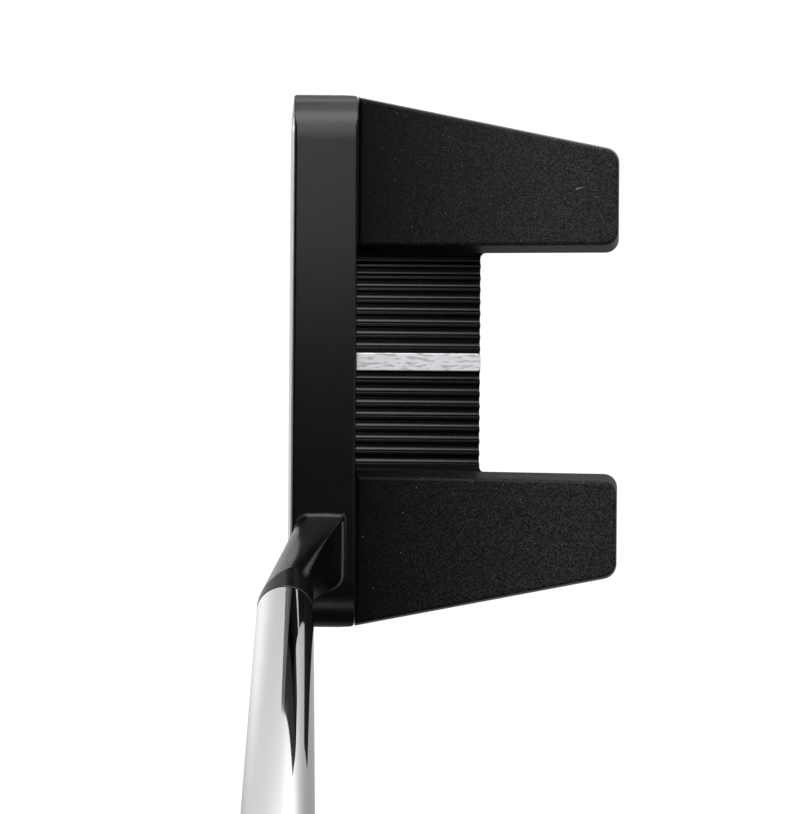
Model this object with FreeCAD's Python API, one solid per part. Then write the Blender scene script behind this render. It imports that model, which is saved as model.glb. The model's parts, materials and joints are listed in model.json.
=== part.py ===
import FreeCAD, Part
import math
import os
from FreeCAD import Vector

# Right-handed mallet putter with two rear wings and a ridged deck between them.
# Millimetres. +X runs from the face to the back, +Y towards the toe, +Z up.
# The origin is on the ground, under the top edge of the face, at the middle of the face.

# ---- head -------------------------------------------------------------------------------
HALF_WIDTH = 52.4            # block, heel to toe, from the middle
BLOCK_TOP = 25.0             # top of the face block
BLOCK_BACK = 12.3            # back of the face block
LOFT = math.radians(2.2)     # the face leans back by this much
END_BULGE = 0.5              # the block's ends are slightly convex
END_LENGTH = 7.2             # the top curves down over this much at each end of the block
END_DROP = 5.0               # and by this much, as a quarter of an ellipse
SOLE_FLAT = 22.0             # half-width of the flat middle of the sole
SOLE_CAMBER = 150.0          # radius of the sole outside its flat middle
LEADING_ROUND = 0.8
FACE_EDGE = 0.5              # roundings of the block's other long edges
BACK_EDGE = 0.35
SOLE_EDGE = 0.3
END_EDGE = 0.9               # and of its upright corners
SEAM = 0.3                   # gap between block and rear body, filled by the gasket

WING_TOP = 22.4
WING_WAIST = 18.4            # height at which a wing is widest
WING_BACK = 64.55            # a wing's outline at its waist
WING_INNER = 21.4            # inner edge at the seam, about a golf ball's radius
WING_OPENING = 0.6           # the inner edges run apart by this much towards the back
WING_OUTER = 52.5            # outer edge at the seam
WING_TIP_OUTER = 42.35       # outer edge at the tip
TOP_INSET = 1.2              # the top is smaller than the waist by this much
FOOT_INSET = 2.0             # and so is the foot, at ground height
WING_EDGE = 0.7              # rounding of the wings' top edges
TIP_OUTER_ROUND = 3.0
TIP_INNER_ROUND = 2.7

DECK_TOP = 16.5
DECK_BACK = 37.45
DECK_CORNER = 1.0
RIDGE_PITCH = 2.37
GROOVE_WIDTH = 1.86
GROOVE_DEPTH = 0.72
TOE_GROOVES = 9
HEEL_GROOVES = 8
TOE_FIRST_GROOVE = 1.49      # the grooves sit a little to the heel side of the bar
HEEL_FIRST_GROOVE = -2.80

RELIEF_START = 30.0          # the sole rises behind this
RELIEF_END = 41.0
RELIEF_HEIGHT = 4.2
TIP_RELIEF = 6.0
TIP_EDGE = 1.5               # rounding under the tips

# ---- face plate -------------------------------------------------------------------------
PLATE_HALF_WIDTH = 48.6
PLATE_LOW = 3.4
PLATE_HIGH = 22.7
PLATE_ROUND = 4.0
PLATE_THICK = 3.2
PLATE_PROUD = 0.15
CUSHION_THICK = 0.8
CUSHION_INSET = 0.4

# ---- sight bar --------------------------------------------------------------------------
BAR_WIDTH = 3.56
BAR_TOP = 17.2
BAR_DEPTH = 3.0
BAR_ROUND = 0.7
BAR_EDGE = 0.2

# ---- fasteners and weights --------------------------------------------------------------
SCREW_Y = 17.5
SCREW_Z = 9.4
SCREW_SHANK = 2.5
SCREW_HEAD = 4.25
SCREW_HEAD_LENGTH = 5.0
SCREW_TIP_X = 5.8
SCREW_SEAT_X = 27.2
SCREW_SOCKET = 4.0           # across flats
SCREW_SOCKET_DEPTH = 2.6
SCREW_EDGE = 0.5
SCREW_HOLE_EXTRA = 0.1       # the holes in the rear body are wider by this, all round
SCREW_HEAD_EXTRA = 0.15

DOWEL_Y = 40.0
DOWEL_Z = 12.0
DOWEL_RADIUS = 1.5
DOWEL_LENGTH = 10.0
DOWEL_CHAMFER = 0.3

WEIGHT_X = 49.5
WEIGHT_Y = 33.4
WEIGHT_HEAD = 6.0
WEIGHT_HEAD_HEIGHT = 3.0
WEIGHT_LOW = 5.0             # underside of a weight's head
WEIGHT_SHANK = 3.0
WEIGHT_SHANK_LENGTH = 8.8
WEIGHT_CLEARANCE = 0.05
WEIGHT_POCKET_EXTRA = 0.25
WEIGHT_EDGE = 0.6
WEIGHT_CHAMFER = 0.5
WEIGHT_SOCKET = 4.0          # across flats
WEIGHT_SOCKET_DEPTH = 3.4
WASHER_RADIUS = 5.2
WASHER_THICK = 0.8
INSERT_RADIUS = 4.5
INSERT_LENGTH = 8.4

# ---- sole plate and its cavity ----------------------------------------------------------
COVER = (15.6, 31.4, 16.4)   # front, back, half-width
COVER_THICK = 1.2
COVER_ROUND = 2.5
CAVITY = (18.4, 28.6, 11.4)
CAVITY_TOP = 9.2
CAVITY_GAP = 0.1
COVER_GAP = 0.05
COVER_SCREW_X = (18.6, 28.4)
COVER_SCREW_Y = 13.6
COVER_SCREW_SHANK = 1.1
COVER_SCREW_HEAD = 1.8
COVER_SCREW_LENGTH = 3.6
COVER_SCREW_SOCKET = 1.5
GASKET_INSET = 0.45          # the gasket is smaller than the seam by this, all round

# ---- neck, shaft and grip ---------------------------------------------------------------
LIE = math.radians(20.0)     # the shaft leans this far from upright, to the heel side
SHAFT_START = Vector(-0.55, -41.9, 58.0)
SHAFT_AXIS = Vector(0.0, -math.sin(LIE), math.cos(LIE))
SHAFT_RADIUS = 4.7
SHAFT_WALL = 0.75
NECK_COLLAR = 5.5            # round part of the neck below the shaft, on the shaft's axis
NECK_SLANT = 4.4             # it is this much longer at the back and shorter at the front
NECK_BASE = (0.85, 10.0, -44.0, -30.1)    # front, back, heel and toe sides on the block
NECK_ROUND = 2.6             # corners of its foot, except the sharp back toe corner
NECK_FILLET = 0.9
NECK_SINK = 0.5              # how far its foot starts below the block's top
NECK_STOPS = (-68, -25, 45, 112, 160, 200, 248, 292)    # degrees round the ring it runs up to
RING_THICK = 0.35
RING_GAP = 0.1               # the ring clears the post by this
RING_INSET = 0.15            # and its rim sits this far inside the shaft's
POST_RADIUS = 3.85
POST_LENGTH = 28.0

CLUB_LENGTH = 864.0          # along the shaft, from the ground to the butt
CAP_THICK = 4.0
SHAFT_END = CLUB_LENGTH - SHAFT_START.z / math.cos(LIE) - CAP_THICK
FIRST_STEP = 262.0
STEP_LENGTH = 34.0
STEP_COUNT = 12
STEP_RAMP = 0.8
BUTT_RADIUS = 7.35
TAPE_THICK = 0.2
GRIP_LENGTH = 266.0
GRIP_START = SHAFT_END - GRIP_LENGTH
GRIP_LIP = 3.0               # the grip's bare lower end, before the tape starts
GRIP_FLAT = 0.72             # half-width of the flat front, as a part of the grip's half-width
# distance from the grip's lower end, half-width, reach to the front and reach to the back
GRIP_SECTIONS = ((0, 8.6, 8.2, 8.8), (30, 9.8, 9.0, 10.0), (120, 11.6, 10.2, 12.6),
                 (200, 12.4, 10.8, 15.2), (GRIP_LENGTH, 12.6, 11.0, 14.6))
CAP_INSET = 0.8
VENT_RADIUS = 1.5

BIG = 80.0                   # reach of cutting tools past the head


# ---- helpers ----------------------------------------------------------------------------
def box(x, y, z):
    """A box from three (low, high) pairs."""
    corner = Vector(x[0], y[0], z[0])
    return Part.makeBox(x[1] - x[0], y[1] - y[0], z[1] - z[0], corner)


def rod(radius, start, end):
    """A cylinder between two points."""
    along = end - start
    return Part.makeCylinder(radius, along.Length, start, along)


def outline(corners):
    """A closed wire through (point, corner radius) pairs."""
    count = len(corners)
    joins = []
    for i, (point, radius) in enumerate(corners):
        if radius == 0:
            joins.append((point, None, point))
            continue
        before = (corners[i - 1][0] - point).normalize()
        after = (corners[(i + 1) % count][0] - point).normalize()
        half = before.getAngle(after) / 2
        reach = radius / math.tan(half)
        middle = (before + after).normalize()
        summit = point + middle * (radius / math.sin(half) - radius)
        joins.append((point + before * reach, summit, point + after * reach))
    pieces = []
    for i, (enter, summit, leave) in enumerate(joins):
        if summit is not None:
            pieces.append(Part.Arc(enter, summit, leave).toShape())
        following = joins[(i + 1) % count][0]
        if leave.distanceToPoint(following) > 1e-6:
            pieces.append(Part.makeLine(leave, following))
    return Part.Wire(pieces)


def prism(corners, along):
    """A solid swept along a vector from a closed outline of (point, corner radius) pairs."""
    return Part.Face(outline(corners)).extrude(along)


def edges_where(shape, test):
    """The edges whose both ends and middle pass a test."""
    found = []
    for edge in shape.Edges:
        middle = edge.valueAt((edge.FirstParameter + edge.LastParameter) / 2)
        if all(test(p) for p in [v.Point for v in edge.Vertexes] + [middle]):
            found.append(edge)
    return found


def both_sides(shape):
    """A shape and its mirror image across the XZ plane."""
    return [shape, shape.mirror(Vector(0, 0, 0), Vector(0, 1, 0))]


def hexagon(across_flats, low, high):
    """A hexagonal prism between two points."""
    along = high - low
    side = along.cross(Vector(0, 1, 0))
    if side.Length < 1e-6:
        side = along.cross(Vector(1, 0, 0))
    side.normalize()
    other = along.cross(side).normalize()
    reach = across_flats / math.sqrt(3)
    corners = []
    for i in range(6):
        angle = math.radians(60 * i)
        spot = low + side * (reach * math.cos(angle)) + other * (reach * math.sin(angle))
        corners.append((spot, 0))
    return prism(corners, along)


def single(shape):
    """The one solid of a boolean result."""
    shape = shape.removeSplitter()
    assert len(shape.Solids) == 1, len(shape.Solids)
    return shape.Solids[0]


# ---- shared outlines --------------------------------------------------------------------
def sole_side():
    """Everything above the sole, as seen from the heel: flat, then rising to the back."""
    front = -BLOCK_TOP * math.tan(LOFT)
    return prism([
        (Vector(front - BIG * math.tan(LOFT), -BIG, BIG), 0),
        (Vector(front, -BIG, 0), LEADING_ROUND),
        (Vector(RELIEF_START, -BIG, 0), BIG / 4),
        (Vector(RELIEF_END, -BIG, RELIEF_HEIGHT), BIG / 4),
        (Vector(WING_BACK, -BIG, TIP_RELIEF), TIP_EDGE),
        (Vector(WING_BACK, -BIG, BIG), 0),
    ], Vector(0, 2 * BIG, 0))


def camber_rise(y):
    """How far the sole has risen at a distance from the middle."""
    return SOLE_CAMBER - math.sqrt(SOLE_CAMBER ** 2 - (y - SOLE_FLAT) ** 2)


def sole_front():
    """Everything above the sole, as seen from the front: flat middle, cambered sides."""
    half = (SOLE_FLAT + BIG) / 2

    def camber(side):
        ends = [Vector(-BIG, side * y, camber_rise(y)) for y in (SOLE_FLAT, half, BIG)]
        return Part.Arc(*ends).toShape()

    toe, heel = camber(1), camber(-1)
    low, high = [Vector(-BIG, y, BIG) for y in (-BIG, BIG)]
    pieces = [
        Part.makeLine(heel.Vertexes[0].Point, toe.Vertexes[0].Point),
        toe,
        Part.makeLine(toe.Vertexes[-1].Point, high),
        Part.makeLine(high, low),
        Part.makeLine(low, heel.Vertexes[-1].Point),
        heel,
    ]
    return Part.Face(Part.Wire(pieces)).extrude(Vector(2 * BIG, 0, 0))


def above_sole():
    return sole_side().common(sole_front())


def screw_spots():
    return [Vector(0, side * SCREW_Y, SCREW_Z) for side in (1, -1)]


def at_x(spot, x):
    return Vector(x, spot.y, spot.z)


# ---- face block with its neck -----------------------------------------------------------
def neck_foot():
    """The neck's outline where it leaves the block, starting with its back heel corner."""
    front, back, heel, toe = NECK_BASE
    z = BLOCK_TOP - NECK_SINK
    return outline([
        (Vector(back, heel, z), NECK_ROUND),
        (Vector(back, toe, z), 0),
        (Vector(front, toe, z), NECK_ROUND),
        (Vector(front, heel, z), NECK_ROUND),
    ])


def neck_round():
    """The slanted ring around the shaft's axis that the foot runs up to, in as many arcs."""
    centre = SHAFT_START - SHAFT_AXIS * NECK_COLLAR
    towards_back = Vector(SHAFT_RADIUS, 0, 0) - SHAFT_AXIS * NECK_SLANT
    towards_toe = Vector(0, math.cos(LIE), math.sin(LIE)) * SHAFT_RADIUS
    ring = Part.Ellipse(centre + towards_back, centre + towards_toe, centre)
    stops = [math.radians(angle) for angle in NECK_STOPS]
    return Part.Wire([Part.ArcOfEllipse(ring, a, b).toShape() for a, b in zip(stops, stops[1:])])


def neck():
    """The neck: a flare from the block to the ring, a round collar, and the shaft's post."""
    ring = neck_round()
    flare = Part.makeLoft([neck_foot(), ring], True, True)
    below_shaft = rod(3 * SHAFT_RADIUS, SHAFT_START - SHAFT_AXIS * 4 * NECK_COLLAR, SHAFT_START)
    collar = Part.Face(ring).extrude(SHAFT_AXIS * 4 * NECK_COLLAR).common(below_shaft)
    post = rod(POST_RADIUS, SHAFT_START - SHAFT_AXIS, SHAFT_START + SHAFT_AXIS * POST_LENGTH)
    return flare.fuse(collar).fuse(post)


def face_slab(low_x, high_x, inset):
    """A rounded slab parallel to the lofted face, between two distances behind it."""
    y, low, high = PLATE_HALF_WIDTH - inset, PLATE_LOW + inset, PLATE_HIGH - inset
    radius = PLATE_ROUND - inset
    slab = prism([
        (Vector(low_x, -y, low), radius),
        (Vector(low_x, y, low), radius),
        (Vector(low_x, y, high), radius),
        (Vector(low_x, -y, high), radius),
    ], Vector(high_x - low_x, 0, 0))
    slab.rotate(Vector(0, 0, BLOCK_TOP), Vector(0, 1, 0), math.degrees(LOFT))
    return slab


def block_plan():
    """Everything between the block's two slightly convex ends."""
    front = -BLOCK_TOP * math.tan(LOFT) - 1
    inner = HALF_WIDTH - END_BULGE
    toe, heel = [
        Part.Arc(Vector(front, side * inner, -1), Vector(BLOCK_BACK * 0.6, side * HALF_WIDTH, -1),
                 Vector(BLOCK_BACK, side * inner, -1)).toShape()
        for side in (1, -1)
    ]
    back = Part.makeLine(toe.Vertexes[-1].Point, heel.Vertexes[-1].Point)
    face = Part.makeLine(heel.Vertexes[0].Point, toe.Vertexes[0].Point)
    return Part.Face(Part.Wire([toe, back, heel, face])).extrude(Vector(0, 0, BIG))


def block_ends():
    """Everything below the block's top, which curves down towards both ends."""
    low, flat, shoulder = -1, HALF_WIDTH - END_LENGTH, BLOCK_TOP - END_DROP
    curves = []
    for side in (1, -1):
        centre = Vector(-BIG, side * flat, shoulder)
        rounding = Part.Ellipse(centre + Vector(0, side * END_LENGTH, 0),
                                centre + Vector(0, 0, END_DROP), centre)
        curves.append(Part.ArcOfEllipse(rounding, 0, math.pi / 2).toShape())
    corners = [Vector(-BIG, y, z) for y, z in ((HALF_WIDTH, shoulder), (HALF_WIDTH, low),
                                               (-HALF_WIDTH, low), (-HALF_WIDTH, shoulder))]
    lines = [Part.makeLine(a, b) for a, b in zip(corners, corners[1:])]
    top = Part.makeLine(Vector(-BIG, flat, BLOCK_TOP), Vector(-BIG, -flat, BLOCK_TOP))
    return Part.Face(Part.Wire([curves[0], *lines, curves[1], top])).extrude(Vector(2 * BIG, 0, 0))


def block_blank():
    """The block without its neck, pocket and holes."""
    side = prism([
        (Vector(-BLOCK_TOP * math.tan(LOFT), -BIG, 0), LEADING_ROUND),
        (Vector(BLOCK_BACK, -BIG, 0), SOLE_EDGE),
        (Vector(BLOCK_BACK, -BIG, BLOCK_TOP), BACK_EDGE),
        (Vector(0, -BIG, BLOCK_TOP), FACE_EDGE),
    ], Vector(0, 2 * BIG, 0))
    block = side.common(block_ends()).common(block_plan()).common(sole_front())
    upright = edges_where(block, lambda p: abs(p.y) > HALF_WIDTH - 1 and p.z < BLOCK_TOP - 0.2
                          and (p.x < 0.2 or p.x > BLOCK_BACK - 0.1))
    return block.makeFillet(END_EDGE, upright)


def face_block():
    """The front block with its neck, the plate's pocket, and the screws' and dowels' holes."""
    body = single(block_blank().fuse(neck()))
    front, back, heel, toe = NECK_BASE
    foot = edges_where(body, lambda p: abs(p.z - BLOCK_TOP) < 1e-3
                       and front - 0.2 < p.x < back + 0.1 and heel - 0.5 < p.y < toe + 0.5)
    body = body.makeFillet(NECK_FILLET, foot)
    body = body.cut(face_slab(0, PLATE_THICK - PLATE_PROUD + CUSHION_THICK, 0)
                    .fuse(face_slab(-BIG / 4, 1, 0)))
    for spot in screw_spots():
        body = body.cut(rod(SCREW_SHANK, at_x(spot, SCREW_TIP_X - 0.5), at_x(spot, BIG)))
    for hole in both_sides(rod(DOWEL_RADIUS, Vector(BLOCK_BACK - DOWEL_LENGTH / 2, DOWEL_Y, DOWEL_Z),
                               Vector(BIG, DOWEL_Y, DOWEL_Z))):
        body = body.cut(hole)
    return single(body)


def face_plate():
    return face_slab(-PLATE_PROUD, PLATE_THICK - PLATE_PROUD, 0)


def insert_cushion():
    back = PLATE_THICK - PLATE_PROUD
    return face_slab(back, back + CUSHION_THICK, CUSHION_INSET)


# ---- rear body --------------------------------------------------------------------------
def wing_outline(inset, z):
    """The toe-side wing's outline at a height, drawn in from its waist by an amount."""
    seam = BLOCK_BACK + SEAM
    slope = (WING_OUTER - WING_TIP_OUTER) / (WING_BACK - seam)
    back = WING_BACK - inset
    outer_inset = inset * math.hypot(1, slope)
    return outline([
        (Vector(seam, WING_INNER + inset, z), 0),
        (Vector(back, WING_INNER + WING_OPENING + inset, z), TIP_INNER_ROUND),
        (Vector(back, WING_TIP_OUTER + slope * inset - outer_inset, z), TIP_OUTER_ROUND),
        (Vector(seam, WING_OUTER - outer_inset, z), 0),
    ])


def wing():
    """The toe-side wing: widest at its waist, with its top edges rounded."""
    waist = wing_outline(0, WING_WAIST)
    upper = Part.makeLoft([waist, wing_outline(TOP_INSET, WING_TOP)], True, True)
    lower = Part.makeLoft([wing_outline(FOOT_INSET, 0), waist], True, True)
    solid = single(upper.fuse(lower))
    top = edges_where(solid, lambda p: abs(p.z - WING_TOP) < 1e-6)
    return solid.makeFillet(WING_EDGE, top)


def grooves():
    """Round-bottomed grooves along the deck."""
    radius = ((GROOVE_WIDTH / 2) ** 2 + GROOVE_DEPTH ** 2) / (2 * GROOVE_DEPTH)
    z = DECK_TOP + radius - GROOVE_DEPTH
    places = [TOE_FIRST_GROOVE + k * RIDGE_PITCH for k in range(TOE_GROOVES)]
    places += [HEEL_FIRST_GROOVE - k * RIDGE_PITCH for k in range(HEEL_GROOVES)]
    return [rod(radius, Vector(BLOCK_BACK, y, z), Vector(DECK_BACK + 1, y, z)) for y in places]


def bar_blank(low, high):
    """The sight bar's outline between two heights."""
    front, half = BLOCK_BACK + SEAM, BAR_WIDTH / 2
    return prism([
        (Vector(front, -half, low), 0),
        (Vector(DECK_BACK, -half, low), BAR_ROUND),
        (Vector(DECK_BACK, half, low), BAR_ROUND),
        (Vector(front, half, low), 0),
    ], Vector(0, 0, high - low))


def cover_blank(sizes, low, high, radius):
    """A rounded rectangle on the sole between two heights; sizes are front, back, half-width."""
    front, back, half = sizes
    return prism([
        (Vector(front, -half, low), radius),
        (Vector(back, -half, low), radius),
        (Vector(back, half, low), radius),
        (Vector(front, half, low), radius),
    ], Vector(0, 0, high - low))


def weight_spot(z):
    return Vector(WEIGHT_X, WEIGHT_Y, z)


def rear_body():
    """Deck and wings in one piece, with the grooves, pockets and holes cut."""
    seam = BLOCK_BACK + SEAM
    reach = WING_INNER + FOOT_INSET + 1
    deck = box((seam, DECK_BACK), (-reach, reach), (0, DECK_TOP))
    toe_wing, heel_wing = both_sides(wing())
    body = single(deck.fuse(toe_wing).fuse(heel_wing))
    corners = edges_where(body, lambda p: abs(p.x - DECK_BACK) < 0.01 and p.z < DECK_TOP + 0.1
                          and WING_INNER < abs(p.y) < reach)
    body = body.makeFillet(DECK_CORNER, [e for e in corners if e.Length > DECK_TOP - 1])
    body = body.common(above_sole())
    for tool in grooves():
        body = body.cut(tool)
    body = body.cut(bar_blank(BAR_TOP - BAR_DEPTH, BIG))
    body = body.cut(cover_blank(COVER, -1, COVER_THICK, COVER_ROUND))
    body = body.cut(cover_blank(CAVITY, -1, CAVITY_TOP, COVER_ROUND))
    for x in COVER_SCREW_X:
        for hole in both_sides(rod(COVER_SCREW_SHANK, Vector(x, COVER_SCREW_Y, 0),
                                   Vector(x, COVER_SCREW_Y, COVER_SCREW_LENGTH + 0.4))):
            body = body.cut(hole)
    for spot in screw_spots():
        body = body.cut(rod(SCREW_SHANK + SCREW_HOLE_EXTRA, at_x(spot, 0), at_x(spot, BIG)))
        body = body.cut(rod(SCREW_HEAD + SCREW_HEAD_EXTRA, at_x(spot, SCREW_SEAT_X), at_x(spot, BIG)))
    pocket_top = WEIGHT_LOW + WEIGHT_HEAD_HEIGHT + WASHER_THICK
    for tool in (
        rod(DOWEL_RADIUS, Vector(0, DOWEL_Y, DOWEL_Z),
            Vector(BLOCK_BACK + DOWEL_LENGTH / 2, DOWEL_Y, DOWEL_Z)),
        rod(WEIGHT_HEAD + WEIGHT_POCKET_EXTRA, weight_spot(-1), weight_spot(pocket_top)),
        rod(INSERT_RADIUS, weight_spot(0), weight_spot(pocket_top + INSERT_LENGTH)),
        rod(WEIGHT_SHANK + 0.4, weight_spot(0), weight_spot(pocket_top + WEIGHT_SHANK_LENGTH + 0.6)),
    ):
        for hole in both_sides(tool):
            body = body.cut(hole)
    return single(body)


def alignment_bar():
    bar = bar_blank(BAR_TOP - BAR_DEPTH, BAR_TOP)
    rim = edges_where(bar, lambda p: abs(p.z - BAR_TOP) < 1e-6)
    return bar.makeFillet(BAR_EDGE, rim)


def seam_gasket():
    """Thin sheet in the seam, a little smaller than the seam all round."""
    side = WING_OUTER - FOOT_INSET - GASKET_INSET
    low_side = camber_rise(side) + GASKET_INSET
    high = WING_TOP - WING_EDGE - GASKET_INSET
    deck = DECK_TOP - GROOVE_DEPTH - GASKET_INSET
    inner = WING_INNER + TOP_INSET + WING_EDGE
    half = [(SOLE_FLAT, GASKET_INSET), (side, low_side), (side, high), (inner, high), (inner, deck)]
    corners = half + [(-y, z) for y, z in reversed(half)]
    sheet = prism([(Vector(BLOCK_BACK, y, z), 0) for y, z in corners], Vector(SEAM, 0, 0))
    for spot in screw_spots():
        sheet = sheet.cut(rod(SCREW_SHANK + 0.3, at_x(spot, 0), at_x(spot, BIG)))
    dowel = rod(DOWEL_RADIUS + 0.2, Vector(0, DOWEL_Y, DOWEL_Z), Vector(BIG, DOWEL_Y, DOWEL_Z))
    for hole in both_sides(dowel):
        sheet = sheet.cut(hole)
    return single(sheet)


def joining_screws():
    screws = []
    head_end = SCREW_SEAT_X + SCREW_HEAD_LENGTH
    for spot in screw_spots():
        shank = rod(SCREW_SHANK, at_x(spot, SCREW_TIP_X), at_x(spot, SCREW_SEAT_X))
        head = rod(SCREW_HEAD, at_x(spot, SCREW_SEAT_X), at_x(spot, head_end))
        rim = edges_where(head, lambda p: abs(p.x - head_end) < 1e-6)
        socket = hexagon(SCREW_SOCKET, at_x(spot, head_end - SCREW_SOCKET_DEPTH), at_x(spot, head_end))
        screws.append(single(shank.fuse(head.makeFillet(SCREW_EDGE, rim)).cut(socket)))
    return Part.makeCompound(screws)


def locating_dowels():
    start = Vector(BLOCK_BACK - DOWEL_LENGTH / 2, DOWEL_Y, DOWEL_Z)
    pin = rod(DOWEL_RADIUS, start, start + Vector(DOWEL_LENGTH, 0, 0))
    return Part.makeCompound(both_sides(pin.makeChamfer(DOWEL_CHAMFER, [pin.Edges[0], pin.Edges[2]])))


# ---- sole weights -----------------------------------------------------------------------
def weight():
    """The toe weight: a round head with a socket, and a plain shank in place of its thread."""
    head_top = WEIGHT_LOW + WEIGHT_HEAD_HEIGHT
    tip = head_top + WASHER_THICK + WEIGHT_SHANK_LENGTH
    head = rod(WEIGHT_HEAD, weight_spot(WEIGHT_LOW), weight_spot(head_top))
    head = head.makeFillet(WEIGHT_EDGE, edges_where(head, lambda p: abs(p.z - WEIGHT_LOW) < 1e-6))
    shank = rod(WEIGHT_SHANK, weight_spot(head_top), weight_spot(tip))
    shank = shank.makeChamfer(WEIGHT_CHAMFER, edges_where(shank, lambda p: p.z > tip - 1e-6))
    socket = hexagon(WEIGHT_SOCKET, weight_spot(WEIGHT_LOW), weight_spot(WEIGHT_LOW + WEIGHT_SOCKET_DEPTH))
    return single(head.fuse(shank).cut(socket))


def weight_washer():
    low = WEIGHT_LOW + WEIGHT_HEAD_HEIGHT
    ring = rod(WASHER_RADIUS, weight_spot(low), weight_spot(low + WASHER_THICK))
    return ring.cut(rod(WEIGHT_SHANK + WEIGHT_CLEARANCE, weight_spot(0), weight_spot(BIG)))


def weight_insert():
    low = WEIGHT_LOW + WEIGHT_HEAD_HEIGHT + WASHER_THICK
    sleeve = rod(INSERT_RADIUS, weight_spot(low), weight_spot(low + INSERT_LENGTH))
    return sleeve.cut(rod(WEIGHT_SHANK + WEIGHT_CLEARANCE, weight_spot(0), weight_spot(BIG)))


# ---- sole plate -------------------------------------------------------------------------
def cover_screw_blank(x, extra):
    """A countersunk screw's outer shape, widened by an amount for its hole."""
    foot = Vector(x, COVER_SCREW_Y, 0)
    shank = rod(COVER_SCREW_SHANK + extra, foot, foot + Vector(0, 0, COVER_SCREW_LENGTH))
    head = Part.makeCone(COVER_SCREW_HEAD + extra, COVER_SCREW_SHANK + extra, COVER_THICK - 0.2, foot)
    return shank.fuse(head)


def sole_plate():
    plate = cover_blank([COVER[0] + COVER_GAP, COVER[1] - COVER_GAP, COVER[2] - COVER_GAP],
                        0, COVER_THICK, COVER_ROUND)
    for x in COVER_SCREW_X:
        for hole in both_sides(cover_screw_blank(x, COVER_GAP)):
            plate = plate.cut(hole)
    return single(plate)


def sole_plate_screws():
    screws = []
    for x in COVER_SCREW_X:
        foot = Vector(x, COVER_SCREW_Y, 0)
        socket = hexagon(COVER_SCREW_SOCKET, foot, foot + Vector(0, 0, 1))
        screws += both_sides(single(cover_screw_blank(x, 0).cut(socket)))
    return Part.makeCompound(screws)


def damping_pad():
    sizes = [CAVITY[0] + CAVITY_GAP, CAVITY[1] - CAVITY_GAP, CAVITY[2] - CAVITY_GAP]
    return cover_blank(sizes, COVER_THICK, CAVITY_TOP - CAVITY_GAP, COVER_ROUND - CAVITY_GAP)


# ---- shaft and grip ---------------------------------------------------------------------
def along_shaft(distance):
    return SHAFT_START + SHAFT_AXIS * distance


def turned(profile):
    """A solid turned about the shaft's axis from (distance along it, radius) points."""
    points = [Vector(r, 0, d) for d, r in profile]
    face = Part.Face(Part.makePolygon(points + points[:1]))
    solid = face.revolve(Vector(0, 0, 0), Vector(0, 0, 1), 360)
    solid.rotate(Vector(0, 0, 0), Vector(1, 0, 0), math.degrees(LIE))
    solid.translate(SHAFT_START)
    return solid


def outer_steps(start, end, extra):
    """Points of the shaft's stepped outside between two distances, raised by an amount."""
    rise = (BUTT_RADIUS - SHAFT_RADIUS) / STEP_COUNT
    points = []
    radius = SHAFT_RADIUS
    place = start
    for k in range(STEP_COUNT):
        step = FIRST_STEP + k * STEP_LENGTH
        if start < step < end:
            points += [(place, radius + extra), (step, radius + extra)]
            place = step + STEP_RAMP
        if step < end:
            radius += rise
    return points + [(place, radius + extra), (end, radius + extra)]


def shaft():
    outside = outer_steps(RING_THICK, SHAFT_END, 0)
    inside = outer_steps(RING_THICK, SHAFT_END, -SHAFT_WALL)
    return turned(outside + inside[::-1])


def shoulder_ring():
    inner, outer = POST_RADIUS + RING_GAP, SHAFT_RADIUS - RING_INSET
    return turned([(0, inner), (RING_THICK, inner), (RING_THICK, outer), (0, outer)])


def shaft_bond():
    inner, outer = POST_RADIUS, SHAFT_RADIUS - SHAFT_WALL
    return turned([(RING_THICK, inner), (POST_LENGTH, inner), (POST_LENGTH, outer), (RING_THICK, outer)])


def grip_tape():
    inside = outer_steps(GRIP_START + GRIP_LIP, SHAFT_END, 0)
    outside = outer_steps(GRIP_START + GRIP_LIP, SHAFT_END, TAPE_THICK)
    return turned(outside + inside[::-1])


def grip_section(distance, half_width, front, back):
    """An outline across the shaft, with its flat front facing up, away from the ground."""
    up = Vector(0, math.cos(LIE), math.sin(LIE))
    centre = along_shaft(distance)
    flat = half_width * GRIP_FLAT
    shoulder = front - half_width * 0.42

    def half(side):
        def point(x, y):
            return centre + Vector(side * x, 0, 0) + up * y

        corner = Part.Arc(point(flat, front), point(half_width * 0.93, front - half_width * 0.1),
                          point(half_width, shoulder)).toShape()
        belly = Part.Arc(point(half_width, shoulder),
                         point(half_width * 0.707, shoulder / 2 - back * 0.78 + 0.5),
                         point(0, -back)).toShape()
        return [corner, belly]

    right, left = half(1), half(-1)
    top = Part.makeLine(left[0].Vertexes[0].Point, right[0].Vertexes[0].Point)
    return Part.Wire([top] + right + left[::-1])


def bore(profile):
    """A solid core for the hollow inside an outer profile."""
    return turned(profile + [(profile[-1][0], 0), (profile[0][0], 0)])


def grip():
    sections = [grip_section(GRIP_START + d, w, front, back) for d, w, front, back in GRIP_SECTIONS]
    body = Part.makeLoft(sections, True, False)
    body = body.cut(bore(outer_steps(GRIP_START + GRIP_LIP, SHAFT_END + 1, TAPE_THICK)))
    return single(body.cut(bore(outer_steps(GRIP_START - 1, GRIP_START + GRIP_LIP, 0))))


def grip_cap():
    """The end cap, tapering a little, with a vent hole through it."""
    low = GRIP_SECTIONS[-1][1:]
    high = [reach - CAP_INSET for reach in low]
    cap = Part.makeLoft([grip_section(SHAFT_END, *low), grip_section(SHAFT_END + CAP_THICK, *high)],
                        True, True)
    return single(cap.cut(rod(VENT_RADIUS, along_shaft(SHAFT_END - 1), along_shaft(SHAFT_END + BIG))))


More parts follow.
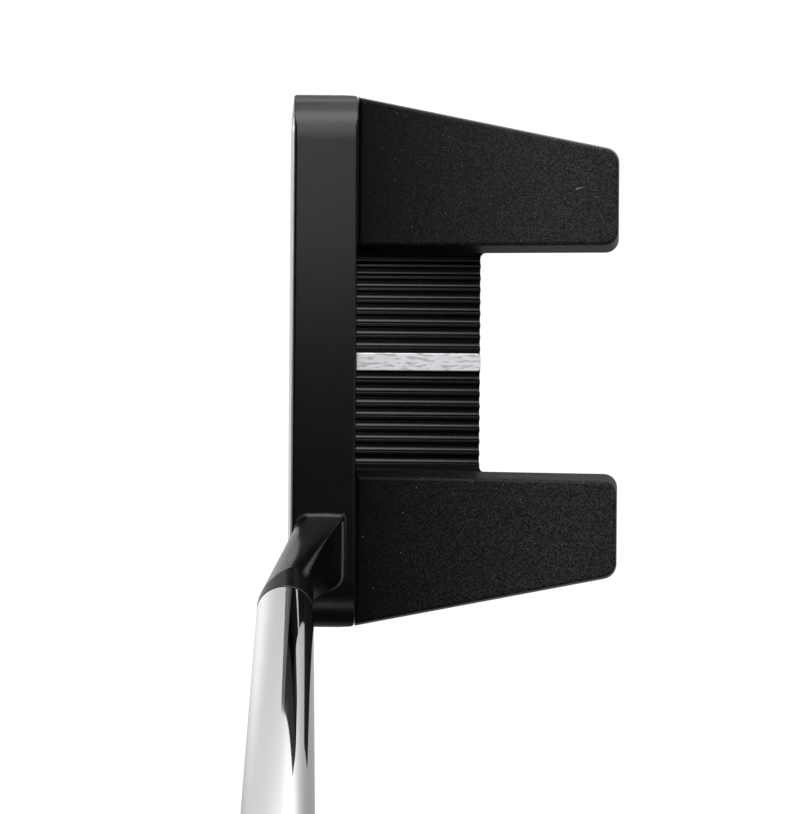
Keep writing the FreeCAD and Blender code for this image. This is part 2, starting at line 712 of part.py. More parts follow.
def export_all():
    os.makedirs("parts", exist_ok=True)
    toe_weight, heel_weight = both_sides(weight())
    toe_washer, heel_washer = both_sides(weight_washer())
    toe_insert, heel_insert = both_sides(weight_insert())
    nodes = {
        "face_block": face_block(),
        "face_plate": face_plate(),
        "insert_cushion": insert_cushion(),
        "rear_body": rear_body(),
        "alignment_bar": alignment_bar(),
        "seam_gasket": seam_gasket(),
        "joining_screws": joining_screws(),
        "locating_dowels": locating_dowels(),
        "toe_weight": toe_weight,
        "heel_weight": heel_weight,
        "toe_weight_washer": toe_washer,
        "heel_weight_washer": heel_washer,
        "toe_weight_insert": toe_insert,
        "heel_weight_insert": heel_insert,
        "sole_plate": sole_plate(),
        "sole_plate_screws": sole_plate_screws(),
        "damping_pad": damping_pad(),
        "shoulder_ring": shoulder_ring(),
        "shaft_bond": shaft_bond(),
        "shaft": shaft(),
        "grip_tape": grip_tape(),
        "grip": grip(),
        "grip_cap": grip_cap(),
    }
    for name, shape in nodes.items():
        assert shape.isValid(), name
        shape.exportStep("parts/" + name + ".step")


export_all()
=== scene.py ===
"""Looks for the mallet putter: materials for every part, a moulded grip, light, floor and camera.

Metres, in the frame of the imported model: +X from the face to the back, +Y towards the toe, +Z up.
"""
import json
import math

import bmesh
import bpy
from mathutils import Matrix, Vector


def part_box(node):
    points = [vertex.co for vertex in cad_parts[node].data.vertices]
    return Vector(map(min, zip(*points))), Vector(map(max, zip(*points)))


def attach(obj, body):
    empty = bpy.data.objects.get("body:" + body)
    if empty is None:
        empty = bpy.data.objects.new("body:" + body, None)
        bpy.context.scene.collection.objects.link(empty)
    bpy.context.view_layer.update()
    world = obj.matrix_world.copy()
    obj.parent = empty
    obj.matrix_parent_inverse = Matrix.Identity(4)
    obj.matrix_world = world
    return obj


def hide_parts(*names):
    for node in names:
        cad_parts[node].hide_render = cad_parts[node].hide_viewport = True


MM = 0.001
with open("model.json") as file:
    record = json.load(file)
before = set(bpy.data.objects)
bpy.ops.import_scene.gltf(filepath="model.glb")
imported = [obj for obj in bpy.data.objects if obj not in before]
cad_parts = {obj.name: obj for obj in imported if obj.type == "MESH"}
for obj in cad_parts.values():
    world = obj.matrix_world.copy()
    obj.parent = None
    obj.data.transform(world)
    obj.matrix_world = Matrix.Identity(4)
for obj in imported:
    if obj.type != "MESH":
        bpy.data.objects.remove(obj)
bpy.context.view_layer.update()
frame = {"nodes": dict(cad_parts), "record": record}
nodes = frame["nodes"]
mounts = {m["name"]: m for m in frame["record"]["mounts"]}


# ---- node helpers -----------------------------------------------------------------------
BEVEL_SAMPLES = 8
EDGE_NONE, EDGE_FULL = 0.93, 0.8     # cosine of the turn from the true to the rounded normal, for the painted edge highlight


class Paint:
    """A material under construction, with short ways to add and join its nodes."""

    def __init__(self, name):
        self.material = bpy.data.materials.new(name)
        self.material.use_nodes = True
        self.tree = self.material.node_tree
        self.shader = self.tree.nodes["Principled BSDF"]
        self.place = self.add("ShaderNodeTexCoord").outputs["Object"]

    def add(self, kind, inputs=None, **settings):
        node = self.tree.nodes.new(kind)
        for key, value in settings.items():
            setattr(node, key, value)
        for key, value in (inputs or {}).items():
            self.put(node.inputs[key], value)
        return node

    def put(self, socket, value):
        if isinstance(value, bpy.types.NodeSocket):
            self.tree.links.new(value, socket)
        else:
            socket.default_value = value

    def set(self, **values):
        for key, value in values.items():
            self.put(self.shader.inputs[key.replace("_", " ")], value)
        return self

    def maths(self, operation, a, b=0.0):
        node = self.add("ShaderNodeMath", operation=operation)
        self.put(node.inputs[0], a)
        self.put(node.inputs[1], b)
        return node.outputs[0]

    def product(self, first, *others):
        for other in others:
            first = self.maths("MULTIPLY", first, other)
        return first

    def length(self, a, b):
        """The length of a flat vector with parts a and b."""
        return self.maths("SQRT", self.maths("ADD", self.product(a, a), self.product(b, b)))

    def split(self, vector):
        """The X, Y and Z outputs of a vector."""
        return self.add("ShaderNodeSeparateXYZ", {"Vector": vector}).outputs

    def ramp(self, value, low, high, out_low=0.0, out_high=1.0):
        """A value mapped from one range to another, held at its ends."""
        node = self.add("ShaderNodeMapRange", {"Value": value, "From Min": low, "From Max": high,
                                               "To Min": out_low, "To Max": out_high})
        return node.outputs["Result"]

    def mix(self, share, a, b):
        node = self.add("ShaderNodeMix", data_type="RGBA")
        self.put(node.inputs[0], share)
        self.put(node.inputs[6], a)
        self.put(node.inputs[7], b)
        return node.outputs[2]

    def noise(self, size, detail=2.0, stretch=(1, 1, 1)):
        """Noise whose features are about a size in millimetres, drawn out along an axis by stretch."""
        scale = [1 / (size * MM * s) for s in stretch]
        placed = self.add("ShaderNodeMapping", {"Vector": self.place, "Scale": scale})
        node = self.add("ShaderNodeTexNoise", {"Vector": placed.outputs[0], "Scale": 1.0, "Detail": detail})
        return node.outputs[0]

    def specks(self, spacing, radius):
        """1 inside small round spots, about a spacing apart, in millimetres."""
        node = self.add("ShaderNodeTexVoronoi", {"Vector": self.place, "Scale": 1 / (spacing * MM)})
        return self.maths("LESS_THAN", node.outputs["Distance"], radius / spacing)

    def bump(self, height, depth, strength=1.0):
        """Joins a height to the shader's normal, for a depth in millimetres; bumps add up."""
        node = self.add("ShaderNodeBump", {"Height": height, "Distance": depth * MM, "Strength": strength})
        old = self.shader.inputs["Normal"].links
        if old:
            self.tree.links.new(old[0].from_socket, node.inputs["Normal"])
        self.tree.links.new(node.outputs[0], self.shader.inputs["Normal"])
        return self

    def soft_edges(self, width):
        """Rounds sharp edges in the shading, to a radius in millimetres."""
        bevel = self.add("ShaderNodeBevel", {"Radius": width * MM}, samples=BEVEL_SAMPLES)
        self.tree.links.new(bevel.outputs[0], self.shader.inputs["Normal"])
        return self

    def edge_mask(self, width):
        """1 on sharp edges, to a width in millimetres, and 0 away from them; it places the painted edge
        highlight.
        """
        bevel = self.add("ShaderNodeBevel", {"Radius": width * MM}, samples=BEVEL_SAMPLES)
        true_normal = self.add("ShaderNodeNewGeometry").outputs["Normal"]
        match = self.add("ShaderNodeVectorMath", {0: bevel.outputs[0], 1: true_normal},
                         operation="DOT_PRODUCT")
        return self.ramp(match.outputs["Value"], EDGE_NONE, EDGE_FULL)


def grey(level, blue=1.03):
    return (level, level, level * blue, 1)


# ---- materials --------------------------------------------------------------------------
BLOCK_TOP = 25 * MM
END_LENGTH = 9.9 * MM        # the shading bends over the block's ends in this length and drop
END_DROP = 5 * MM            # (the CAD surface itself bends over 7.2 mm)
END_LIMIT = 0.999            # keeps the bend short of upright
LEVEL_ENOUGH = 0.15          # only surfaces that face up at least this much are bent
TOP_MARGIN = 0.005 * MM


def rolled_ends(p):
    """Bends the shading normal over the block's ends in one curve, longer than the CAD surface's."""
    normal = p.shader.inputs["Normal"].links[0].from_socket
    part, place = p.split(normal), p.split(p.place)
    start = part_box("face_block")[1].y - END_LENGTH
    out = p.maths("ABSOLUTE", place["Y"])
    share = p.ramp(out, start, start + END_LENGTH, 0.0, END_LIMIT)
    flat = p.maths("SQRT", p.maths("SUBTRACT", 1.0, p.product(share, share)))
    lean = p.maths("ARCTAN2", p.product(share, END_DROP), p.product(flat, END_LENGTH))
    rest = p.maths("SQRT", p.maths("SUBTRACT", 1.0, p.product(part["X"], part["X"])))
    aside = p.product(p.maths("SINE", lean), rest, p.maths("SIGN", place["Y"]))
    upward = p.product(p.maths("COSINE", lean), rest)
    bent = p.add("ShaderNodeCombineXYZ", {"X": part["X"], "Y": aside, "Z": upward}).outputs[0]
    inside = p.product(p.maths("GREATER_THAN", out, start),
                       p.maths("GREATER_THAN", part["Z"], LEVEL_ENOUGH),
                       p.maths("GREATER_THAN", place["Z"], BLOCK_TOP - END_DROP),
                       p.maths("LESS_THAN", place["Z"], BLOCK_TOP + TOP_MARGIN))
    mixed = p.add("ShaderNodeMix", data_type="VECTOR")
    p.put(mixed.inputs[0], inside)
    p.put(mixed.inputs[4], normal)
    p.put(mixed.inputs[5], bent)
    p.tree.links.new(mixed.outputs[1], p.shader.inputs["Normal"])


# Painted highlight: a lighter colour along the neck's corner and along the foot of its back face stands in
# for light caught by rounded edges.
CREASE_FOOT = Vector((10.1, -29.6, 25.0)) * MM     # the neck's corner towards the toe and the back
CREASE_HEAD = Vector((3.0, -36.3, 51.6)) * MM
CREASE_HALF = (0.15 * MM, 0.5 * MM)                # half the painted highlight line's width, at its foot and head
CREASE_FADE = 3 * MM
FOOT_HIGHLIGHT = (0.1 * MM, 0.2 * MM, 0.55 * MM, 0.75 * MM)    # heights above the block where the painted highlight at the neck's foot fades in and fades out
FOOT_HIGHLIGHT_FRONT = 6 * MM                           # it lies behind this, and heelwards of the next
FOOT_HIGHLIGHT_TOE = -31 * MM


def painted_crease_highlight(p, place):
    """1 along the neck's corner, where a painted highlight widens upwards, and along the foot of its back
    face, where a painted highlight marks the fillet.
    """
    lean = (CREASE_HEAD - CREASE_FOOT).xy / (CREASE_HEAD.z - CREASE_FOOT.z)
    rise = p.maths("SUBTRACT", place["Z"], CREASE_FOOT.z)
    aside = []
    for k, axis in enumerate("XY"):
        on_line = p.maths("ADD", p.product(rise, lean[k]), CREASE_FOOT[k])
        aside.append(p.maths("SUBTRACT", place[axis], on_line))
    half = p.ramp(place["Z"], CREASE_FOOT.z, CREASE_HEAD.z, *CREASE_HALF)
    corner = p.ramp(p.maths("DIVIDE", p.length(*aside), half), 0.5, 1.5, 0.8, 0.0)
    corner = p.product(corner, p.ramp(place["Z"], CREASE_HEAD.z, CREASE_HEAD.z + CREASE_FADE, 1.0, 0.0))
    begin, full, thin, end = (BLOCK_TOP + height for height in FOOT_HIGHLIGHT)
    foot = p.product(p.ramp(place["Z"], begin, full), p.ramp(place["Z"], thin, end, 1.0, 0.0),
                     p.maths("GREATER_THAN", place["X"], FOOT_HIGHLIGHT_FRONT),
                     p.maths("LESS_THAN", place["Y"], FOOT_HIGHLIGHT_TOE))
    return p.maths("MAXIMUM", corner, foot)


NECK_START = (BLOCK_TOP + 0.5 * MM, BLOCK_TOP + 1.5 * MM)   # the painted edge highlight grows to full strength between these heights


def satin_black():
    """Smooth satin black finish on steel, with a very fine grain and painted highlights on the neck's
    edges, its corner and the foot of its back face.
    """
    p = Paint("satin_black").soft_edges(0.3)
    rolled_ends(p)
    grain = p.noise(0.25, 3)
    cloud = p.noise(6, 2)
    place = p.split(p.place)
    on_neck = p.ramp(place["Z"], *NECK_START, 0.15, 1.0)
    # painted highlight: the lighter grey on the neck's edges, corner and foot stands in for light caught by
    # rounded edges
    wear_and_painted_highlight = p.product(p.edge_mask(0.35), on_neck)
    wear_and_painted_highlight = p.maths("MAXIMUM", wear_and_painted_highlight, p.product(painted_crease_highlight(p, place), p.ramp(grain, 0.3, 0.6, 0.6, 1.0)))
    base = p.mix(p.ramp(cloud, 0.35, 0.65), grey(0.0012), grey(0.0024))
    p.set(Base_Color=p.mix(wear_and_painted_highlight, base, grey(0.13)),
          Roughness=p.ramp(grain, 0.3, 0.7, 0.21, 0.28), Specular_IOR_Level=0.28)
    return p.bump(grain, 0.006).material


DECK_HALF = 22 * MM          # the deck's half-width, with some of the wings' inner bevels
DECK_MARGIN = 0.5 * MM


def deck_mask(p, place):
    """1 on the deck between the wings, 0 on the wings."""
    side = p.maths("LESS_THAN", p.maths("ABSOLUTE", place["Y"]), DECK_HALF)
    low = p.maths("LESS_THAN", place["Z"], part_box("alignment_bar")[1].z + DECK_MARGIN)
    return p.product(side, low)


SCRATCH_CENTRE = (56.3 * MM, 31.6 * MM)            # a curved scratch on the toe wing
SCRATCH_RADIUS = 2.6 * MM
SCRATCH_ENDS = (55.0 * MM, 57.0 * MM)
SCRATCH_HALF = (0.06 * MM, 0.14 * MM)              # full inside the first, gone past the second


def scratch(p, place):
    """1 on a short curved scratch, fading towards the back."""
    aside = [p.maths("SUBTRACT", place[axis], SCRATCH_CENTRE[k]) for k, axis in enumerate("XY")]
    off = p.maths("ABSOLUTE", p.maths("SUBTRACT", p.length(*aside), SCRATCH_RADIUS))
    return p.product(p.ramp(off, *SCRATCH_HALF, 1.0, 0.0), p.maths("GREATER_THAN", aside[1], 0.0),
                     p.maths("GREATER_THAN", place["X"], SCRATCH_ENDS[0]),
                     p.ramp(place["X"], *SCRATCH_ENDS, 1.0, 0.0))


SHADE_REACH = 0.75           # painted shade darkens the wings near the seam, over this part of their length
# painted glints: small light spots in the wings' colour
GLINT_SPACING = 0.9          # millimetres
GLINT_RADIUS = 0.06


def blasted_black():
    """Sand-blasted black alloy with tiny painted glints and painted shade near the seam; the machined deck
    between the wings is smoother.
    """
    p = Paint("blasted_black").soft_edges(0.15)
    place = p.split(p.place)
    deck = deck_mask(p, place)
    wings = p.maths("SUBTRACT", 1.0, deck)
    fine, coarse = p.noise(0.22, 3), p.noise(0.3, 4)
    seam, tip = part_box("seam_gasket")[1].x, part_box("rear_body")[1].x
    # painted shade: the wings' colour and gloss fall off towards the seam, standing in for shade there
    unshaded_share = p.ramp(place["X"], seam, seam + SHADE_REACH * (tip - seam), 0.08, 1.0)
    base = p.mix(p.ramp(coarse, 0.42, 0.66), grey(0.002), grey(0.05))
    base = p.mix(unshaded_share, grey(0.002), base)
    base = p.mix(deck, base, grey(0.002))
    # painted glints: specks of lighter colour stand in for sparkle on the blasted wings
    glint = p.product(p.specks(GLINT_SPACING, GLINT_RADIUS), p.ramp(p.noise(1.5, 0), 0.52, 0.65))
    base = p.mix(p.product(glint, wings), base, grey(0.5))
    base = p.mix(p.product(scratch(p, place), wings), base, grey(0.35))
    rough = p.ramp(fine, 0.3, 0.7, 0.42, 0.5)
    gloss = p.ramp(unshaded_share, 0, 1, 0.05, 0.2)
    p.set(Base_Color=base, Roughness=p.ramp(deck, 0, 1, rough, 0.2),
          Specular_IOR_Level=p.ramp(deck, 0, 1, gloss, 0.26))
    strength = p.ramp(deck, 0, 1, 1.0, 0.15)
    return p.bump(coarse, 0.012, strength).bump(fine, 0.009, strength).material


def silver_face():
    """Bare milled face: bright satin metal with fine crosswise tool marks."""
    p = Paint("silver_face")
    marks = p.noise(0.3, 3, (1, 60, 1))
    p.set(Base_Color=grey(0.55), Metallic=1.0, Roughness=p.ramp(marks, 0.3, 0.7, 0.26, 0.4))
    return p.bump(marks, 0.004).material


def bright_bar():
    """Bare bright metal, brushed along its length, with a few grey scuffs towards its front."""
    p = Paint("bright_bar")
    brushed = p.noise(0.12, 4, (50, 1, 1))
    scuff = p.ramp(p.noise(0.9, 4, (3, 0.6, 1)), 0.5, 0.62)
    p.set(Base_Color=p.mix(scuff, grey(0.97), grey(0.6)), Metallic=0.7,
          Roughness=p.ramp(brushed, 0.3, 0.7, 0.4, 0.5))
    return p.bump(brushed, 0.004).material


def chrome():
    """Polished plate with faint lengthwise drawing marks and a trace of haze."""
    p = Paint("chrome")
    haze = p.noise(9, 3)
    p.set(Base_Color=grey(0.62), Metallic=1.0, Roughness=p.ramp(haze, 0.4, 0.75, 0.035, 0.075))
    return p.material


def steel(name, level, roughness):
    """Turned or milled steel with fine marks."""
    p = Paint(name)
    marks = p.noise(0.15, 3, (1, 1, 12))
    p.set(Base_Color=grey(level), Metallic=1.0,
          Roughness=p.ramp(marks, 0.3, 0.7, roughness - 0.06, roughness + 0.08))
    return p.bump(marks, 0.004).material


def moulded(name, level, roughness, grain):
    """Moulded rubber or plastic with a fine pebbled skin."""
    p = Paint(name)
    skin = p.noise(grain, 3)
    wear_and_painted_highlight = p.noise(14, 3)
    p.set(Base_Color=p.mix(p.ramp(wear_and_painted_highlight, 0.3, 0.7), grey(level * 0.8), grey(level * 1.25)),
          Roughness=p.ramp(skin, 0.3, 0.7, roughness - 0.06, roughness + 0.08), Specular_IOR_Level=0.4)
    return p.bump(skin, grain * 0.12).material


def paper_tape():
    """Pale crinkled paper tape."""
    p = Paint("paper_tape")
    crinkle = p.noise(0.8, 4, (1, 1, 3))
    colour = p.mix(p.ramp(crinkle, 0.3, 0.7), (0.62, 0.58, 0.48, 1), (0.78, 0.74, 0.64, 1))
    p.set(Base_Color=colour, Roughness=0.8)
    return p.bump(crinkle, 0.05).material


def dress(material, *names):
    """Gives CAD nodes a material."""
    for name in names:
        mesh = nodes[name].data
        mesh.materials.clear()
        mesh.materials.append(material)
        for face in mesh.polygons:
            face.material_index = 0


def dress_all():
    fastener = steel("fastener_steel", 0.5, 0.32)
    rubber = moulded("soft_rubber", 0.018, 0.65, 0.3)
    dress(satin_black(), "face_block")
    dress(blasted_black(), "rear_body")
    dress(silver_face(), "face_plate")
    dress(bright_bar(), "alignment_bar")
    dress(chrome(), "shaft")
    dress(steel("weight_steel", 0.6, 0.26), "toe_weight", "heel_weight")
    dress(fastener, "joining_screws", "locating_dowels", "toe_weight_insert", "heel_weight_insert",
          "sole_plate_screws")
    dress(moulded("cover_black", 0.03, 0.4, 0.2), "sole_plate")
    dress(rubber, "insert_cushion", "seam_gasket", "damping_pad")
    dress(moulded("nylon", 0.7, 0.5, 0.4), "toe_weight_washer", "heel_weight_washer")
    dress(moulded("ring_black", 0.015, 0.4, 0.2), "shoulder_ring")
    dress(moulded("glue", 0.25, 0.3, 0.5), "shaft_bond")
    dress(paper_tape(), "grip_tape")


# ---- grip and its cap -------------------------------------------------------------------
GRIP_LENGTH = 266.0          # millimetres in this section, as far as the last step
CAP_THICK = mounts["butt_vent"]["dims"]["length_mm"]
VENT = mounts["butt_vent"]["dims"]["r_mm"]
CAP_ROUND = 1.5
STATIONS = (                 # distance from the lower end, half-width, reach to the front and back
    (0, 8.6, 8.2, 8.8),
    (30, 9.8, 9.0, 10.0),
    (120, 11.6, 10.2, 12.6),
    (200, 12.4, 10.8, 15.2),
    (GRIP_LENGTH, 12.6, 11.0, 14.6),
)
FRONT_SQUARE = 4.2           # higher is squarer: the front is nearly flat, the back is round
BACK_SQUARE = 2.1
BORE = ((0, 6.49), (1.7, 6.49), (2.6, 6.71), (3.0, 6.71), (3.2, 7.1), (106, 7.6), (GRIP_LENGTH, 7.6))
AROUND = 192                 # points round each ring
ROW = 0.7                    # spacing of the rings
DIMPLE_COLUMNS = 24
DIMPLE_PITCH = 3.4
DIMPLE_RADIUS = 1.15
DIMPLE_DEPTH = 0.35
PLAIN_END = 14.0             # no dimples within this of the grip's ends
GROOVE_AT = 0.112            # grooves that frame the front, as a part of the way round
GROOVE_HALF = 0.5
GROOVE_DEPTH = 0.35
LIP_ROUND = 1.4              # rounding of the grip's lower end
SHARP = math.radians(40)     # edges sharper than this stay sharp in the shading
CAP_SEAM = 0.35              # the cap starts this far inside the grip's outline,
CAP_SEAM_ENDS = (0.3, 0.5)   # and comes out again between these heights,
CAP_INSET = 0.05             # to this far inside it
CAP_STEPS = 6
CAP_DISH = ((0.82, 0), (0.8, 0.35), (0.4, 0.5), (0.36, 0.2), (0.24, 0.2))   # part of the outline, depth
VENT_EDGE = 0.45


def sizes_at(distance):
    """The grip's half-width and reaches at a distance, in a smooth curve through the stations."""
    k = 0
    while k < len(STATIONS) - 2 and distance > STATIONS[k + 1][0]:
        k += 1
    before, low, high, after = (STATIONS[max(0, min(i, len(STATIONS) - 1))] for i in range(k - 1, k + 3))
    span = high[0] - low[0]
    t = (distance - low[0]) / span
    values = []
    for i in (1, 2, 3):
        slope_low = (high[i] - before[i]) / (high[0] - before[0]) * span
        slope_high = (after[i] - low[i]) / (after[0] - low[0]) * span
        values.append((2 * t ** 3 - 3 * t ** 2 + 1) * low[i] + (t ** 3 - 2 * t ** 2 + t) * slope_low
                      + (3 * t ** 2 - 2 * t ** 3) * high[i] + (t ** 3 - t ** 2) * slope_high)
    return values


def power(value, square):
    return math.copysign(abs(value) ** (2 / square), value)


def section(half_width, front, back):
    """Evenly spaced points round a grip section, from the middle of its front: (side, up) pairs."""
    dense = []
    for k in range(4 * AROUND + 1):
        angle = 2 * math.pi * k / (4 * AROUND)
        square, reach = (FRONT_SQUARE, front) if math.cos(angle) >= 0 else (BACK_SQUARE, back)
        dense.append(Vector((half_width * power(math.sin(angle), square),
                             reach * power(math.cos(angle), square))))
    lengths = [0.0]
    for a, b in zip(dense, dense[1:]):
        lengths.append(lengths[-1] + (b - a).length)
    points, k = [], 0
    for i in range(AROUND):
        goal = lengths[-1] * i / AROUND
        while lengths[k + 1] < goal:
            k += 1
        points.append(dense[k].lerp(dense[k + 1], (goal - lengths[k]) / (lengths[k + 1] - lengths[k])))
    return points


def circle(radius):
    return [Vector((radius * math.sin(a), radius * math.cos(a)))
            for a in (2 * math.pi * i / AROUND for i in range(AROUND))]


def relief(share, distance, around_length):
    """How far the skin is sunk at a part of the way round and a distance along."""
    frame_groove = abs(min(share, 1 - share) - GROOVE_AT) * around_length
    depth = GROOVE_DEPTH * max(0.0, 1 - (frame_groove / GROOVE_HALF) ** 2)
    if PLAIN_END < distance < GRIP_LENGTH - PLAIN_END:
        row = round((distance - PLAIN_END) / DIMPLE_PITCH)
        along = distance - PLAIN_END - row * DIMPLE_PITCH
        column = share * DIMPLE_COLUMNS - 0.5 * (row % 2)
        aside = (column - round(column)) * around_length / DIMPLE_COLUMNS
        clear = frame_groove > GROOVE_HALF + DIMPLE_RADIUS
        away = (along ** 2 + aside ** 2) / DIMPLE_RADIUS ** 2
        depth = max(depth, DIMPLE_DEPTH * max(0.0, 1 - away) * clear)
    return depth


def skin(name, rings):
    """A mesh through rings of (distance, points), joined back to the first ring."""
    vent = mounts["butt_vent"]
    along = Vector(vent["axis"])
    start = Vector(vent["pos_m"]) - along * (GRIP_LENGTH + CAP_THICK / 2) * MM
    side = Vector((1, 0, 0))
    up = along.cross(side)
    mesh = bmesh.new()
    loops = []
    for distance, points in rings:
        loops.append([mesh.verts.new(start + (along * distance + side * p.x + up * p.y) * MM)
                      for p in points])
    for low, high in zip(loops, loops[1:] + loops[:1]):
        for i in range(AROUND):
            j = (i + 1) % AROUND
            mesh.faces.new((low[i], low[j], high[j], high[i])).smooth = True
    bmesh.ops.recalc_face_normals(mesh, faces=mesh.faces)
    data = bpy.data.meshes.new(name)
    mesh.to_mesh(data)
    mesh.free()
    data.set_sharp_from_angle(angle=SHARP)
    piece = bpy.data.objects.new(name, data)
    bpy.context.scene.collection.objects.link(piece)
    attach(piece, "putter")
    return piece


def sunk(points, depths):
    """Points moved inwards, square to their outline."""
    moved = []
    for i, (point, depth) in enumerate(zip(points, depths)):
        along = points[(i + 1) % AROUND] - points[i - 1]
        moved.append(point + Vector((-along.y, along.x)).normalized() * -depth)
    return moved


def add_grip():
    """The moulded rubber sleeve: dimpled, with a framed flat front."""
    rings = []
    count = round(GRIP_LENGTH / ROW)
    for k in range(count + 1):
        distance = GRIP_LENGTH * k / count
        points = section(*sizes_at(distance))
        around_length = AROUND * (points[1] - points[0]).length
        lip = LIP_ROUND - math.sqrt(max(0.0, LIP_ROUND ** 2 - max(0.0, LIP_ROUND - distance) ** 2))
        depths = [lip + relief(i / AROUND, distance, around_length) for i in range(AROUND)]
        rings.append((distance, sunk(points, depths)))
    for distance, radius in reversed(BORE):
        rings.append((distance, circle(radius)))
    piece = skin("grip_sleeve", rings)
    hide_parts("grip")
    piece.data.materials.append(moulded("grip_rubber", 0.018, 0.6, 0.35))


def add_cap():
    """The end cap: rounded at its rim, slightly dished round the vent."""
    half_width, front, back = STATIONS[-1][1:]

    def rim(inset):
        return section(half_width - inset, front - inset, back - inset)

    rings = [(GRIP_LENGTH, rim(CAP_SEAM)), (GRIP_LENGTH + CAP_SEAM_ENDS[0], rim(CAP_SEAM)),
             (GRIP_LENGTH + CAP_SEAM_ENDS[1], rim(CAP_INSET))]
    for k in range(CAP_STEPS + 1):
        angle = math.pi / 2 * k / CAP_STEPS
        rings.append((GRIP_LENGTH + CAP_THICK - CAP_ROUND * (1 - math.sin(angle)),
                      rim(CAP_INSET + CAP_ROUND * (1 - math.cos(angle)))))
    for share, sink in CAP_DISH:
        rings.append((GRIP_LENGTH + CAP_THICK - sink, [p * share for p in rim(CAP_ROUND)]))
    for distance in (CAP_THICK - VENT_EDGE, 0):
        rings.append((GRIP_LENGTH + distance, circle(VENT)))
    piece = skin("grip_end_cap", rings)
    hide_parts("grip_cap")
    piece.data.materials.append(moulded("cap_rubber", 0.012, 0.5, 0.3))


# ---- studio -----------------------------------------------------------------------------
EYE = Vector((2.6, -3.96, 251.4)) * MM     # straight above the block
FOCAL = 1.44103                            # in picture heights
AIM_SHIFT = (0.11548, -0.03194)            # lens shift, in picture heights
ROLL = math.radians(0.43)
SENSOR = 36.0
NEAR = 0.01
SAME_PLACE = 0.0001          # the camera counts as unmoved within this height
WHITE = 1.05                 # what the camera sees of the floor and the surroundings
AMBIENT = 0.08               # what the surroundings show to the parts


def driven_shift(camera, index, amount):
    """A lens shift that holds only while the camera stays at its own place."""
    driver = camera.data.driver_add("shift_x" if index == 0 else "shift_y").driver
    driver.type = "SCRIPTED"
    height = driver.variables.new()
    height.name = "height"
    height.type = "TRANSFORMS"
    height.targets[0].id = camera
    height.targets[0].transform_type = "LOC_Z"
    height.targets[0].transform_space = "WORLD_SPACE"
    driver.expression = f"{amount:.6f} if abs(height - {camera.location.z:.6f}) < {SAME_PLACE} else 0"


def add_camera():
    camera = bpy.data.objects.new("camera", bpy.data.cameras.new("camera"))
    bpy.context.scene.collection.objects.link(camera)
    camera.location = EYE
    camera.rotation_euler = (0, 0, ROLL)
    camera.data.sensor_width = SENSOR
    camera.data.lens = FOCAL * SENSOR
    camera.data.clip_start = NEAR
    for index in (0, 1):
        driven_shift(camera, index, AIM_SHIFT[index])
    bpy.context.scene.camera = camera


FLOOR_DROP = 0.006           # leaves room for the weights when they are unscrewed
FLOOR_HALF = 20              # half its side, in metres
FLOOR_GLOW = 0.34            # what the floor shows to the parts' undersides and to the chrome
FLOOR_POOLS = (              # lighter pools on it: X, Y, radius in metres, extra brightness
    (-0.13, 0.0, 0.11, 0.4),
    (-0.045, -0.03, 0.04, 0.6),
    (0.11, 0.11, 0.07, 1.2),
    (0.0, 0.6, 0.35, 5.0),
)


def floor_glow(p):
    """The floor's brightness in reflections: a base level and a few soft pools."""
    total = FLOOR_GLOW
    for x, y, radius, extra in FLOOR_POOLS:
        away = p.add("ShaderNodeVectorMath", {0: p.place, 1: (x, y, 0)}, operation="DISTANCE")
        share = p.maths("DIVIDE", away.outputs["Value"], radius)
        fade = p.maths("EXPONENT", p.product(share, share, -1.0))
        total = p.maths("ADD", total, p.product(fade, extra))
    return total


def add_floor():
    """A pale floor that reads as white and lights the object from below; from underneath it is clear."""
    mesh = bmesh.new()
    bmesh.ops.create_grid(mesh, x_segments=1, y_segments=1, size=FLOOR_HALF)
    data = bpy.data.meshes.new("floor")
    mesh.to_mesh(data)
    mesh.free()
    floor = bpy.data.objects.new("floor", data)
    floor.location.z = -FLOOR_DROP
    bpy.context.scene.collection.objects.link(floor)
    p = Paint("floor")
    ray = p.add("ShaderNodeLightPath").outputs["Is Camera Ray"]
    strength = p.ramp(ray, 0, 1, floor_glow(p), WHITE)
    glow = p.add("ShaderNodeEmission", {"Color": (1, 1, 1, 1), "Strength": strength})
    below = p.add("ShaderNodeNewGeometry").outputs["Backfacing"]
    clear = p.add("ShaderNodeBsdfTransparent")
    sides = p.add("ShaderNodeMixShader", {0: below, 1: glow.outputs[0], 2: clear.outputs[0]})
    p.tree.links.new(sides.outputs[0], p.tree.nodes["Material Output"].inputs["Surface"])
    data.materials.append(p.material)


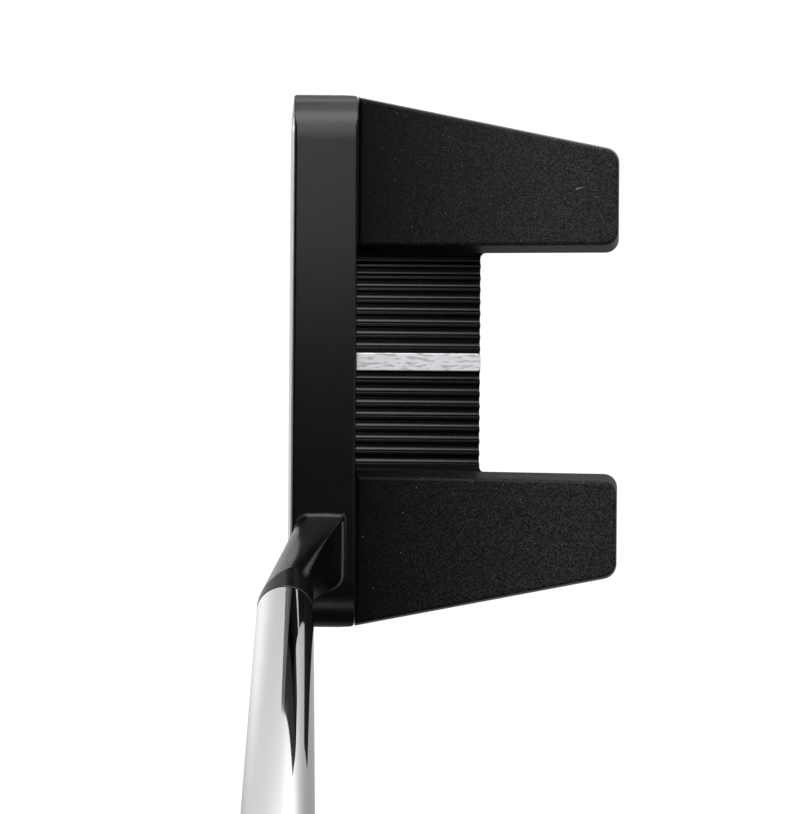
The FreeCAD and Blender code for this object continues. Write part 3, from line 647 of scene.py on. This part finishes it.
def add_world():
    world = bpy.data.worlds.new("studio")
    bpy.context.scene.world = world
    world.use_nodes = True
    tree = world.node_tree
    ray = tree.nodes.new("ShaderNodeLightPath").outputs["Is Camera Ray"]
    level = tree.nodes.new("ShaderNodeMapRange")
    tree.links.new(ray, level.inputs["Value"])
    level.inputs["To Min"].default_value = AMBIENT
    level.inputs["To Max"].default_value = WHITE
    tree.links.new(level.outputs["Result"], tree.nodes["Background"].inputs["Strength"])
    tree.nodes["Background"].inputs["Color"].default_value = (1, 1, 1, 1)


LIGHT_DISTANCE = 2.5


def panel(name, tilt, azimuth, size, strength):
    """A round soft light aimed at the head: tilt from straight up, azimuth from +X towards +Y, degrees."""
    tilt, azimuth = math.radians(tilt), math.radians(azimuth)
    towards = Vector((math.sin(tilt) * math.cos(azimuth), math.sin(tilt) * math.sin(azimuth),
                      math.cos(tilt)))
    data = bpy.data.lights.new(name, "AREA")
    data.shape = "DISK"
    data.size = 2 * LIGHT_DISTANCE * math.tan(math.radians(size))
    area = math.pi * (data.size / 2) ** 2
    data.energy = strength * math.pi * area
    light = bpy.data.objects.new(name, data)
    light.location = towards * LIGHT_DISTANCE
    light.rotation_euler = towards.to_track_quat("Z", "Y").to_euler()
    light.visible_camera = False
    bpy.context.scene.collection.objects.link(light)


LIGHTS = (                   # name, tilt, azimuth, half-width in degrees, brightness
    ("toe_top", 11, 90, 7, 2.7),
    ("toe_high", 26, 92, 8, 5.4),
    ("toe_middle", 44, 90, 10, 8.6),
    ("toe_side", 64, 84, 10, 4.0),
    ("toe_low", 85, 90, 9, 5.0),
    ("toe_back", 60, 50, 12, 2.4),
    ("toe_front", 52, 132, 11, 2.0),
    ("back", 54, 5, 10, 1.2),
    ("back_high", 22, 0, 9, 2.0),
    ("heel_strip", 42, 270, 3, 6.0),
)


def add_lights():
    for light in LIGHTS:
        panel(*light)


dress_all()
add_grip()
add_cap()
add_floor()
add_world()
add_lights()
add_camera()
bpy.context.scene.view_settings.view_transform = "Standard"
